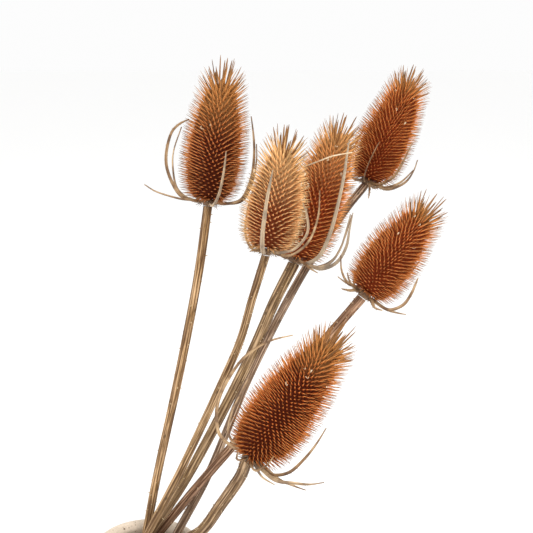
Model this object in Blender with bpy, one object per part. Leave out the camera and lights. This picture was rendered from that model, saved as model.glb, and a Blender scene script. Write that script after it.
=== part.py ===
"""Six dried teasels standing in a round stoneware vase.

Metres, +Z up, +X to the viewer's right and +Y away from the viewer.
The origin is the centre of the vase's foot.
"""

import math
import random

import bmesh
import bpy
from mathutils import Matrix, Vector

MM = 0.001
CLEAR = 0.3 * MM

# Vase: a flat foot, a round belly, a short neck and a thick rolled lip
VASE_HEIGHT = 115 * MM
VASE_SIDES = 32
FOOT_RADIUS = 29 * MM
LIP_RADIUS = 29 * MM
LIP_ROUND = 4.5 * MM
LIP_STEPS = 6
FLOOR_HEIGHT = 8 * MM
OUTER_WALL = [(31, 2), (41, 22), (46.5, 49), (44, 74), (35.5, 94), (32, 103), (32.3, 107.8)]
INNER_WALL = [(25.2, 107.8), (26, 101), (31, 92), (39.2, 74), (41.5, 49), (36, 25), (24, 9.5)]

# Seed head: an egg with its blunt end down, covered with spines in staggered rows
EGG_START = 0.05
EGG_POWER = 0.7
EGG_TOP = 0.985
HEAD_ROWS = 20
HEAD_COLUMNS = 15
SPINE_LENGTH = 7.6 * MM
SPINE_LENGTH_GAIN = 1.5 * MM
SPINE_LIFT_LOW = math.radians(5)
SPINE_LIFT_HIGH = math.radians(56)
SPINE_VARIATION = 0.1
CROWN_ROWS = 3
CROWN_LENGTH = 16 * MM
CROWN_LIFT = math.radians(66)

# Collar and bracts: long curved blades, grown together where they leave the stem
COLLAR_HEIGHT = 4.5 * MM
COLLAR_RADIUS = 4.6 * MM
COLLAR_FOOT_EDGE = 0.4 * MM
COLLAR_WIDEST_SHARE = 0.4
COLLAR_SIDES = 12
BRACT_STEPS = 8
BRACT_WIDTH = 2.8 * MM
BRACT_TIP_WIDTH = 1.0 * MM
BRACT_THICKNESS = 1.9 * MM
BRACT_TIP_THICKNESS = 0.9 * MM
BRACT_TAPER_POWER = 0.7
BRACT_ROOT = (1.5, -2.4)
BRACT_DROOP = 0.6

# Stem: a ribbed tube with a few small prickles
STEM_STEPS = 13
STEM_RIBS = 5
RIB_DEPTH = 0.14
PRICKLES = 9
PRICKLE_LENGTH = 2.4 * MM
PRICKLE_ROOT = 0.8 * MM
PRICKLE_SLANT = 0.35

# Colours as red, green, blue, then roughness
HEAD_COLOUR = (0.34, 0.12, 0.035)
BRACT_COLOUR = (0.62, 0.43, 0.22)
STEM_COLOUR = (0.36, 0.20, 0.09)
VASE_COLOUR = (0.68, 0.58, 0.46)

# One entry for each teasel, in millimetres. "base" and "tip" are the ends of the head's body, "girth" is the
# reach of its spines from its axis, "stem" runs from the foot inside the vase up to the neck under the head, and
# "stem_radius" is the stem's radius at its top and its foot. A bract is (turn at its root, turn at its end,
# places), where a turn is in degrees round the head's axis, 0 to the right and 90 away from the viewer, and a
# place is (distance out from the axis, height above the head's base).
TEASELS = [
    {
        "base": (40, 40, 327),
        "tip": (49, 50, 397),
        "girth": 21.5,
        "stem": [(-19.3, 8, 10), (-12, 10, 60), (-1, 12, 117), (7, 16, 157), (21, 22, 219), (33, 31, 279)],
        "stem_radius": (2.9, 2.7),
        "bracts": [
            (195, 200, [
                (11.6, -2.5), (19.3, 1), (27.2, 12.6), (29.9, 23.3), (28.6, 36.1), (24.4, 42.5), (18.4, 46.4)
            ]),
            (165, 160, [(12.1, -2.8), (21.6, 3.8), (26.1, 15.8), (27.1, 26.9), (24, 41.6)]),
            (205, 205, [(9.6, -2.6), (17.5, -2), (26.6, -0.8), (35.2, 1.1), (42.2, 4.3)]),
            (-72, -70, [(12, -4), (21, 4), (24, 14), (24.5, 22), (23.5, 30)]),
            (6, -8, [(10.8, -2.6), (20.2, 2.4), (24.6, 16), (24.6, 30), (22.9, 41), (19.9, 53)]),
            (30, 24, [(12, -2.8), (23.5, 1.4), (28.4, 14.6), (28.8, 27.3), (27.2, 37.1)]),
            (70, 80, [(15, -3), (25, 8), (29, 24), (26, 42)]),
            (120, 110, [(16, -3), (26, 6), (31, 20), (29, 34)]),
        ],
    },
    {
        "base": (76, 22, 300),
        "tip": (87, 36, 358),
        "girth": 21,
        "stem": [
            (-29.6, -24.2, 61.3), (-25, -22, 69), (-5, -13, 113), (23, -4, 166),
            (51, 7, 225), (60, 11, 246), (67, 15, 270),
        ],
        "stem_radius": (2.6, 2.5),
        "bracts": [
            (-99, -103, [(12, -4), (21, 5), (24, 17), (24.5, 30), (22.5, 45)]),
            (-35, -50, [(9.8, -2.4), (20, 1.4), (27.1, 7.6), (30.6, 14.3), (28.8, 22.9), (24.8, 29.5)]),
            (-150, -150, [(6.5, -3), (11.5, -4)]),
            (10, 0, [(14, -3), (24, 8), (27, 24), (25, 40)]),
            (105, 110, [(15, -3), (24, 6), (27, 18), (27, 32)]),
            (128, 132, [(14, -3), (23, 6), (25, 20), (23, 34)]),
        ],
    },
    {
        "base": (95, 58, 286),
        "tip": (124, 80, 362),
        "girth": 22.5,
        "stem": [(-35.6, -13.2, 66), (-27, -10, 76), (-2, -1, 114), (28, 14, 158), (61.6, 35, 218), (80.8, 50, 258)],
        "stem_radius": (4.0, 2.6),
        "bracts": [
            (-45, -70, [(12, -3), (22, 5.2), (25.5, 20), (25.5, 36), (23, 55), (20, 68), (17, 80)]),
            (-25, -22, [(9.8, -3.4), (18.6, -1.4), (24.2, 4.6), (26.5, 14.8), (25.8, 25.9), (24.6, 36.5)]),
            (-15, -5, [(9.3, -3.6), (18.5, -2.1), (25.9, 5), (28.1, 16.5), (26, 28.5), (24.4, 38.8)]),
            (-60, -55, [(12, -4), (19, -5), (27, -6.3)]),
            (20, 12, [(14, -3), (24, 7), (26, 22), (25, 38)]),
            (95, 100, [(14, -3), (24, 8), (26, 24), (24, 44)]),
            (125, 130, [(15, -3), (25, 6), (29, 20), (28, 40)]),
            (185, 180, [(14, -3), (24, 6), (27, 20), (25, 36)]),
        ],
    },
    {
        "base": (144, 100, 330),
        "tip": (172, 116, 391),
        "girth": 21,
        "stem": [
            (-28.2, -20.1, 27.8), (-21, -15, 40), (-7, -5, 68), (18, 12, 114),
            (39, 29, 150), (65, 52, 208), (98, 76, 267), (126, 90, 307),
        ],
        "stem_radius": (2.9, 2.7),
        "bracts": [
            (-52, -48, [(12.5, -2.8), (21.8, 5.2), (24, 17), (24, 31)]),
            (-25, -20, [(7.5, -2.6), (14, -1.6), (22, 5.4), (26.5, 16.3)]),
            (-15, 5, [(7.2, -3), (15.6, -1.4), (23.6, 7), (26, 16.5), (25.8, 25.4)]),
            (-70, -75, [(7, -5), (13, -9), (18, -14)]),
            (55, 60, [(14, -3), (25, 8), (28, 24), (26, 42)]),
            (90, 95, [(15, -3), (25, 8), (29, 24), (28, 38)]),
            (125, 130, [(15, -3), (24, 6), (26, 20), (24, 36)]),
            (-105, -100, [(12, -4), (21, 4), (24, 14), (23.5, 22)]),
        ],
    },
    {
        "base": (137, 24, 272),
        "tip": (172, 34, 318),
        "girth": 20.5,
        "stem": [(-38.3, 2.7, 63.2), (-28, 4, 74), (4, 6, 114), (41, 11, 159), (87, 18, 212), (119, 22, 250)],
        "stem_radius": (3.3, 2.7),
        "bracts": [
            (190, 190, [(6.8, -2.6), (13.7, -2.4), (20.8, 1.4), (26.7, 8.5)]),
            (165, 165, [(6.5, -2.8), (12.6, -3.1), (20, -3.1)]),
            (215, 210, [(6.5, -3.8), (11.2, -5.9), (16.3, -7.7)]),
            (-140, -150, [(7, -2.8), (14, -1.8), (20, 2)]),
            (-20, -30, [(8.9, -2.8), (18.4, -0.9), (23.9, 6.5), (24, 15), (22.6, 21.5), (21.8, 25)]),
            (0, 0, [(8.8, -2.6), (15.6, -1.8), (22, 0.3), (28, 3.2)]),
            (-50, -40, [(7.4, -3.6), (12.2, -5), (17.4, -3.6)]),
            (60, 50, [(14, -3), (25, 8), (29, 22), (28, 36)]),
            (115, 110, [(15, -3), (25, 6), (30, 20), (28, 36)]),
        ],
    },
    {
        "base": (67, -44, 195),
        "tip": (112, -38, 258),
        "girth": 22.5,
        "stem": [
            (1.6, 15, 9.9), (4, 9, 36), (8.5, -2, 77), (17.6, -11, 115),
            (36.7, -21.5, 135.3), (48.5, -29.5, 156), (60.3, -38, 178),
        ],
        "stem_radius": (3.7, 3.4),
        "bracts": [
            (190, 180, [
                (11, -2.6), (21.1, -0.6), (28.7, 6.3), (34.2, 16.5), (36.5, 30), (36, 45.3), (30, 59.4), (21, 69.8)
            ]),
            (155, 150, [(10, -3), (18.9, 0.8), (24.6, 11.8), (26.8, 22.2), (28.6, 32.4)]),
            (-25, -20, [(9, -2.8), (17, -0.8), (23.6, 6.5), (25.8, 17.9), (26, 28.2), (25, 39.1)]),
            (-35, -25, [(10.3, -3), (20.9, -1.4), (30, 4.3), (36.8, 9.2), (42.5, 15.3)]),
            (10, 15, [(11.4, -3.4), (23.1, -4.6), (33.4, -3.6), (41.7, -2.5)]),
            (-60, -50, [(8, -3), (16.6, -3.2), (25.8, -1)]),
            (-70, -75, [(9, -4), (17, -1), (23, 7), (24, 13)]),
            (-115, -118, [(10, -4), (18, -2), (23, 3)]),
            (60, 65, [(15, -3), (25, 8), (30, 24), (28, 44)]),
            (105, 100, [(15, -3), (26, 8), (31, 26), (29, 48)]),
        ],
    },
]


def clear_scene():
    for thing in list(bpy.data.objects):
        bpy.data.objects.remove(thing, do_unlink=True)


def plain_material(name, colour, roughness):
    material = bpy.data.materials.new(name)
    material.use_nodes = True
    shader = material.node_tree.nodes["Principled BSDF"]
    shader.inputs["Base Color"].default_value = (*colour, 1.0)
    shader.inputs["Roughness"].default_value = roughness
    shader.inputs["Metallic"].default_value = 0.0
    return material


def add_object(name, bm, material):
    """Close the bmesh into a named object whose faces point outwards."""
    bmesh.ops.recalc_face_normals(bm, faces=bm.faces[:])
    mesh = bpy.data.meshes.new(name)
    bm.to_mesh(mesh)
    bm.free()
    if material is not None:
        mesh.materials.append(material)
    thing = bpy.data.objects.new(name, mesh)
    bpy.context.scene.collection.objects.link(thing)
    return thing


def smooth_route(places, steps):
    """Points at even steps along a smooth curve that passes through every given place."""
    places = [Vector(place) for place in places]
    ends = [2 * places[0] - places[1]] + places + [2 * places[-1] - places[-2]]
    spans = len(places) - 1
    route = []
    for step in range(steps + 1):
        along = step / steps * spans
        span = min(int(along), spans - 1)
        t = along - span
        before, start, end, after = ends[span:span + 4]
        route.append(
            0.5 * (
                2 * start
                + (end - before) * t
                + (2 * before - 5 * start + 4 * end - after) * t ** 2
                + (3 * start - before - 3 * end + after) * t ** 3
            )
        )
    return route


def turn_profile(bm, profile, sides, place):
    """Spin a profile of (radius, height) about the axis of the given placement."""
    corners = [bm.verts.new((radius, 0, height)) for radius, height in profile]
    edges = [bm.edges.new(pair) for pair in zip(corners, corners[1:])]
    bmesh.ops.spin(
        bm, geom=corners + edges, cent=(0, 0, 0), axis=(0, 0, 1), angle=2 * math.pi, steps=sides, use_merge=True
    )
    bmesh.ops.remove_doubles(bm, verts=bm.verts[:], dist=0.01 * MM)
    bm.transform(place)


def skin_rings(bm, rings):
    """Join rings of corners with walls and close both ends."""
    for low, high in zip(rings, rings[1:]):
        count = len(low)
        for corner in range(count):
            following = (corner + 1) % count
            bm.faces.new((low[corner], low[following], high[following], high[corner]))
    bm.faces.new(rings[0])
    bm.faces.new(rings[-1])
    bmesh.ops.triangulate(bm, faces=bm.faces[:])


def head_placement(teasel):
    """The head's own axes: across the view, away from the viewer and along the head, at its base."""
    base = Vector(teasel["base"]) * MM
    along = (Vector(teasel["tip"]) * MM - base).normalized()
    across = (Vector((1, 0, 0)) - along * along.x).normalized()
    away = along.cross(across)
    turn = Matrix((across, away, along)).transposed().to_4x4()
    return Matrix.Translation(base) @ turn


def body_length(teasel):
    return (Vector(teasel["tip"]) - Vector(teasel["base"])).length * MM


def make_vase(material):
    lip_centre = VASE_HEIGHT - LIP_ROUND
    outer = [(place.x, place.y) for place in smooth_route([(r * MM, z * MM, 0) for r, z in OUTER_WALL], 11)]
    inner = [(place.x, place.y) for place in smooth_route([(r * MM, z * MM, 0) for r, z in INNER_WALL], 9)]
    lip = []
    for step in range(1, LIP_STEPS):
        angle = math.pi * step / LIP_STEPS
        lip.append((LIP_RADIUS + LIP_ROUND * math.cos(angle), lip_centre + LIP_ROUND * math.sin(angle)))
    rolled = [(LIP_RADIUS + LIP_ROUND, lip_centre)] + lip + [(LIP_RADIUS - LIP_ROUND, lip_centre)]
    profile = [(0, 0), (FOOT_RADIUS, 0)] + outer + rolled + inner + [(0, FLOOR_HEIGHT)]
    bm = bmesh.new()
    turn_profile(bm, profile, VASE_SIDES, Matrix.Identity(4))
    vase = add_object("vase", bm, material)
    vase.data.shade_smooth()
    vase.data.set_sharp_from_angle(angle=math.radians(40))
    return vase


def ribbed_outline(radius):
    """Corners across a stem, with its ribs standing out between grooves."""
    corners = []
    for corner in range(2 * STEM_RIBS):
        angle = math.pi * corner / STEM_RIBS
        reach = radius * (1 - RIB_DEPTH * (corner % 2))
        corners.append((reach * math.cos(angle), reach * math.sin(angle)))
    return corners


def sweep(bm, route, outlines, facings, end_direction=None):
    """Carry a changing outline along a route, its second direction kept towards the facing."""
    rings = []
    last = len(route) - 1
    for step, place in enumerate(route):
        tangent = (route[min(step + 1, last)] - route[max(step - 1, 0)]).normalized()
        if step == last and end_direction is not None:
            tangent = end_direction
        side = tangent.cross(facings[step]).normalized()
        front = side.cross(tangent)
        rings.append([bm.verts.new(place + side * x + front * y) for x, y in outlines[step]])
    skin_rings(bm, rings)


def join_as_one(whole, parts, solver):
    """Unite the parts with the whole in one solid and remove them."""
    group = bpy.data.collections.new(whole.name + "_parts")
    for part in parts:
        bpy.context.scene.collection.objects.unlink(part)
        group.objects.link(part)
    union = whole.modifiers.new("union", "BOOLEAN")
    union.operation = "UNION"
    union.operand_type = "COLLECTION"
    union.collection = group
    union.solver = solver
    seen = bpy.context.evaluated_depsgraph_get()
    joined = bpy.data.meshes.new_from_object(whole.evaluated_get(seen))
    whole.modifiers.remove(union)
    whole.data = joined
    for part in parts:
        bpy.data.objects.remove(part, do_unlink=True)
    bpy.data.collections.remove(group)


def make_stem(number, teasel, material):
    draw = random.Random(100 + number)
    placement = head_placement(teasel)
    along_head = placement.to_3x3() @ Vector((0, 0, 1))
    neck = placement @ Vector((0, 0, -COLLAR_HEIGHT - CLEAR))
    places = [Vector(place) * MM for place in teasel["stem"]] + [neck]
    route = smooth_route(places, STEM_STEPS)
    top_radius, foot_radius = (radius * MM for radius in teasel["stem_radius"])
    radii = [foot_radius + (top_radius - foot_radius) * step / STEM_STEPS for step in range(STEM_STEPS + 1)]
    bm = bmesh.new()
    facings = [Vector((0, -1, 0))] * len(route)
    sweep(bm, route, [ribbed_outline(radius) for radius in radii], facings, along_head)
    stem = add_object(f"stem_{number}", bm, material)
    prickles = []
    above_lip = [step for step in range(STEM_STEPS) if route[step].z > VASE_HEIGHT + LIP_ROUND]
    for turn in range(PRICKLES):
        step = above_lip[turn * len(above_lip) // PRICKLES]
        share = draw.uniform(0.2, 0.8)
        place = route[step].lerp(route[step + 1], share)
        tangent = (route[step + 1] - route[step]).normalized()
        angle = draw.uniform(0, 2 * math.pi)
        side = tangent.cross(Vector((0, -1, 0))).normalized()
        outward = side * math.cos(angle) + side.cross(tangent) * math.sin(angle)
        reach = radii[step] + PRICKLE_LENGTH
        slant = (outward + PRICKLE_SLANT * tangent).normalized()
        bm = bmesh.new()
        placing = Matrix.Translation(place + slant * reach / 2) @ slant.to_track_quat("Z", "Y").to_matrix().to_4x4()
        bmesh.ops.create_cone(
            bm, cap_ends=True, segments=3, radius1=2 * PRICKLE_ROOT, radius2=0, depth=reach, matrix=placing
        )
        prickles.append(add_object(f"prickle_{turn}", bm, material))
    join_as_one(stem, prickles, "EXACT")
    return stem


def make_bract(placement, bract, material):
    """One long blade, three-sided, with its ridge on the outer face."""
    turn_root, turn_end, places = bract
    curve = smooth_route([(out * MM, up * MM, 0) for out, up in [BRACT_ROOT] + places], BRACT_STEPS)
    route = []
    facings = []
    outlines = []
    for step, place in enumerate(curve):
        share = step / BRACT_STEPS
        turn = math.radians(turn_root + (turn_end - turn_root) * share)
        radial = Vector((math.cos(turn), math.sin(turn), 0))
        route.append(placement @ (radial * place.x + Vector((0, 0, place.y))))
        facing = Vector((0, 0, -1)) if step <= 1 else radial + BRACT_DROOP * Vector((0, 0, -1))
        facings.append(placement.to_3x3() @ facing)
        half = (BRACT_WIDTH + (BRACT_TIP_WIDTH - BRACT_WIDTH) * share ** BRACT_TAPER_POWER) / 2
        thick = BRACT_THICKNESS + (BRACT_TIP_THICKNESS - BRACT_THICKNESS) * share
        outlines.append([(-half, -thick / 3), (half, -thick / 3), (0, 2 * thick / 3)])
    bm = bmesh.new()
    sweep(bm, route, outlines, facings)
    return add_object("bract", bm, material)


def make_bracts(number, teasel, material):
    placement = head_placement(teasel)
    stem_radius = teasel["stem_radius"][0] * MM
    profile = [
        (0, -COLLAR_HEIGHT),
        (stem_radius + COLLAR_FOOT_EDGE, -COLLAR_HEIGHT),
        (COLLAR_RADIUS, -COLLAR_WIDEST_SHARE * COLLAR_HEIGHT),
        (COLLAR_RADIUS, -CLEAR),
        (0, -CLEAR),
    ]
    bm = bmesh.new()
    turn_profile(bm, profile, COLLAR_SIDES, placement)
    collar = add_object(f"bracts_{number}", bm, material)
    # Blades that part and meet again near the collar only come out as one body this way
    join_as_one(collar, [make_bract(placement, bract, material) for bract in teasel["bracts"]], "MANIFOLD")
    return collar


def egg_radius(share):
    """Radius of the egg for a share of its length, where its widest part is 1."""
    along = EGG_START + (1 - EGG_START) * share ** EGG_POWER
    return math.sqrt(max(0.0, 1 - (2 * along - 1) ** 2))


def make_head(number, teasel, material):
    draw = random.Random(200 + number)
    length = body_length(teasel)
    core = teasel["girth"] * MM - SPINE_LENGTH
    bm = bmesh.new()
    rings = []
    for row in range(HEAD_ROWS + 1):
        share = EGG_TOP * row / HEAD_ROWS
        radius = core * egg_radius(share)
        ring = []
        for column in range(HEAD_COLUMNS):
            angle = 2 * math.pi * (column + 0.5 * (row % 2)) / HEAD_COLUMNS
            ring.append(bm.verts.new((radius * math.cos(angle), radius * math.sin(angle), share * length)))
        rings.append(ring)

    def corner(row, column):
        return rings[row][column % HEAD_COLUMNS]

    cells = []
    for row in range(1, HEAD_ROWS):
        for column in range(HEAD_COLUMNS):
            beside = column + row % 2
            face = bm.faces.new(
                (corner(row, column), corner(row - 1, beside), corner(row, column + 1), corner(row + 1, beside))
            )
            cells.append((face, row, column))
    for column in range(HEAD_COLUMNS):
        bm.faces.new((corner(0, column), corner(0, column + 1), corner(1, column)))
        top = HEAD_ROWS
        bm.faces.new((corner(top, column), corner(top, column + 1), corner(top - 1, column + (top % 2))))
    bm.faces.new(rings[0])
    cap = bm.faces.new(rings[-1])
    peaks = bmesh.ops.poke(bm, faces=[face for face, row, column in cells] + [cap])["verts"]
    for peak, (face, row, column) in zip(peaks, cells):
        share = EGG_TOP * row / HEAD_ROWS
        angle = 2 * math.pi * (column + 0.5 + 0.5 * (row % 2)) / HEAD_COLUMNS
        rows_from_top = HEAD_ROWS - row
        lift = SPINE_LIFT_LOW + (SPINE_LIFT_HIGH - SPINE_LIFT_LOW) * share
        reach = SPINE_LENGTH + SPINE_LENGTH_GAIN * share
        if rows_from_top <= CROWN_ROWS:
            nearness = 1 - (rows_from_top - 1) / CROWN_ROWS
            lift += (CROWN_LIFT - lift) * nearness
            reach += (CROWN_LENGTH - reach) * nearness
        reach *= 1 + draw.uniform(-SPINE_VARIATION, SPINE_VARIATION)
        radius = core * egg_radius(share) + reach * math.cos(lift)
        height = share * length + reach * math.sin(lift)
        peak.co = (radius * math.cos(angle), radius * math.sin(angle), height)
    peaks[-1].co = (0, 0, length + CROWN_LENGTH)
    bm.transform(head_placement(teasel))
    return add_object(f"head_{number}", bm, material)


def main():
    clear_scene()
    make_vase(plain_material("stoneware", VASE_COLOUR, 0.8))
    for number, teasel in enumerate(TEASELS, start=1):
        make_stem(number, teasel, plain_material(f"stem_{number}", STEM_COLOUR, 0.75))
        make_bracts(number, teasel, plain_material(f"bracts_{number}", BRACT_COLOUR, 0.7))
        make_head(number, teasel, plain_material(f"head_{number}", HEAD_COLOUR, 0.7))


main()
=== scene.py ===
"""Six dried teasels standing in a round stoneware vase, with their finishes, floor, light and camera.

Metres, +Z up, +X to the viewer's right and +Y away from the viewer.
The origin is the centre of the vase's foot.
"""

import math
import random

import bmesh
import bpy
from bpy.props import FloatProperty, FloatVectorProperty, IntProperty, PointerProperty
from mathutils import Matrix, Vector, noise


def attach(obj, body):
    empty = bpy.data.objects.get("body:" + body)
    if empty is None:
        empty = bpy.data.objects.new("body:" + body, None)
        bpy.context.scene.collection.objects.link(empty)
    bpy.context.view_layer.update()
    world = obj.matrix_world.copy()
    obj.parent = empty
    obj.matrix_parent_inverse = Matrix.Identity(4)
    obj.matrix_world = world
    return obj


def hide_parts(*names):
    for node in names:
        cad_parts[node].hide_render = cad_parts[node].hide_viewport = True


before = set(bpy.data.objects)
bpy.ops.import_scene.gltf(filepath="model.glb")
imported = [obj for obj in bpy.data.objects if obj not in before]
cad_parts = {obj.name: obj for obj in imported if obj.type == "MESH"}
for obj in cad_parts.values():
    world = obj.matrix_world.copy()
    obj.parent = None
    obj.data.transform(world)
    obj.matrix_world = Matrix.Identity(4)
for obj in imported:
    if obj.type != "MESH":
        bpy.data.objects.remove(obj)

bl_info = {
    "name": "Dried teasels in a vase",
    "version": (1, 0, 0),
    "blender": (4, 5, 0),
    "location": "3D View > Sidebar > Teasels",
    "description": "Builds six dried teasels, the stoneware vase that holds them and a plain stage",
    "category": "Object",
}

MM = 0.001
CLEAR = 0.3 * MM
UP = Vector((0, 0, 1))
TO_VIEWER = Vector((0, -1, 0))
FULL_TURN = 2 * math.pi
GOLDEN_ANGLE = math.pi * (3 - math.sqrt(5))
SHARP_ANGLE = math.radians(50)
SAME_PLACE = 0.002 * MM

# Vase: a flat foot, a round belly, a short neck and a thick rolled lip
VASE_HEIGHT = 115 * MM
VASE_SIDES = 144
FOOT_RADIUS = 29 * MM
FOOT_EDGE = 0.8 * MM
LIP_RADIUS = 29 * MM
LIP_ROUND = 4.5 * MM
LIP_STEPS = 16
FLOOR_HEIGHT = 8 * MM
WALL_STEPS = 70
OUTER_WALL = [(31, 2), (41, 22), (46.5, 49), (44, 74), (35.5, 94), (32, 103), (32.3, 107.8)]
INNER_WALL = [(25.2, 107.8), (26, 101), (31, 92), (39.2, 74), (41.5, 49), (36, 25), (24, 9.5)]

# Seed head: an egg with its blunt end down. Its spines lean down at its base and lift towards its tip.
EGG_START = 0.05
EGG_POWER = 0.7
EGG_TOP = 0.985
SPINE_LENGTH = 7.6 * MM
SPINE_LENGTH_GAIN = 1.5 * MM
SPINE_LENGTH_SPREAD = 0.06
SPINE_BURIED = 1.0 * MM
SPINE_LIFT_LOW = math.radians(-8)
SPINE_LIFT_HIGH = math.radians(53)
SPINE_WANDER = 0.05
LAST_SPINE = 0.975
CORE_SIDES = 40
CORE_ROWS = 30
AREA_SLICES = 400
AREA_FLOOR = 0.06
HEAD_SEED = 500

# Skirt of spines under the broad end of a head, in degrees, kept off the bracts
SKIRT_LIFT = (-34, -8)
SKIRT_REACH = (6.5, 8.0)
SKIRT_INSET = 0.6 * MM
SKIRT_GAP = 13

# Tip of a head: its spines grow longer from the rise on, and long spikes stand on its last part
RISE_START = 0.78
RISE_LIFT = math.radians(8)
RISE_LENGTH = 5.5 * MM
SPIKE_START = 0.90
SPIKE_SPAN = 0.085
SPIKE_LIFT = 45
SPIKE_LIFT_GAIN = 40
SPIKE_BURIED = 2 * MM

# Collar and bracts
COLLAR_HEIGHT = 4.5 * MM
COLLAR_RADIUS = 4.6 * MM
COLLAR_SIDES = 32
COLLAR_GROOVES = 8
GROOVE_DEPTH = 0.07
BRACT_STEPS = 30
BRACT_TIP_WIDTH = 0.7 * MM
BRACT_TIP_THICKNESS = 0.7 * MM
BRACT_ROOT = (1.5, -1.8)
BRACT_RAISE = 0.8
BRACT_DROOP = 0.6
BRACT_SWING = 0.9
BRACT_PRICKLES = 26
BRACT_SEED = 400

# Section of a bract: shares of its half width and of its thickness, and height above the grooves, where a low
# height is darkened as painted shade
BRACT_SECTION = [
    (-1, -0.22, 0.8), (-0.55, -0.36, 1.0), (0, -0.10, 0.1), (0.55, -0.36, 1.0), (1, -0.22, 0.8),
    (0.74, 0.16, 0.9), (0.36, 0.50, 1.0), (0, 0.26, 0.0), (-0.36, 0.50, 1.0), (-0.74, 0.16, 0.9),
]

# Tones of the shreds under a head: pale, brown and burnt. The brown and burnt ones also take painted shade,
# so the burnt hairs are partly real dark bristles and partly painted shade under the head
SHRED_TONES = ((1.0, 0.0, 0.3, 0.0), (0.6, 0.5, 0.0, 0.0), (0.0, 1.0, 0.0, 0.0))

# Stems
STEM_STEPS = 110
STEM_CORNERS = 36
STEM_TWIST = 1.2
LOWEST_PRICKLE = VASE_HEIGHT - 25 * MM
STEM_SEED = 300

# Camera
CAMERA_PLACE = (0.0756, -0.5686, 0.4356)
CAMERA_TARGET = (0.0756, 0.0330, 0.2856)
SENSOR_WIDTH = 36.0
FOCAL_LENGTH = 67.54
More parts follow.
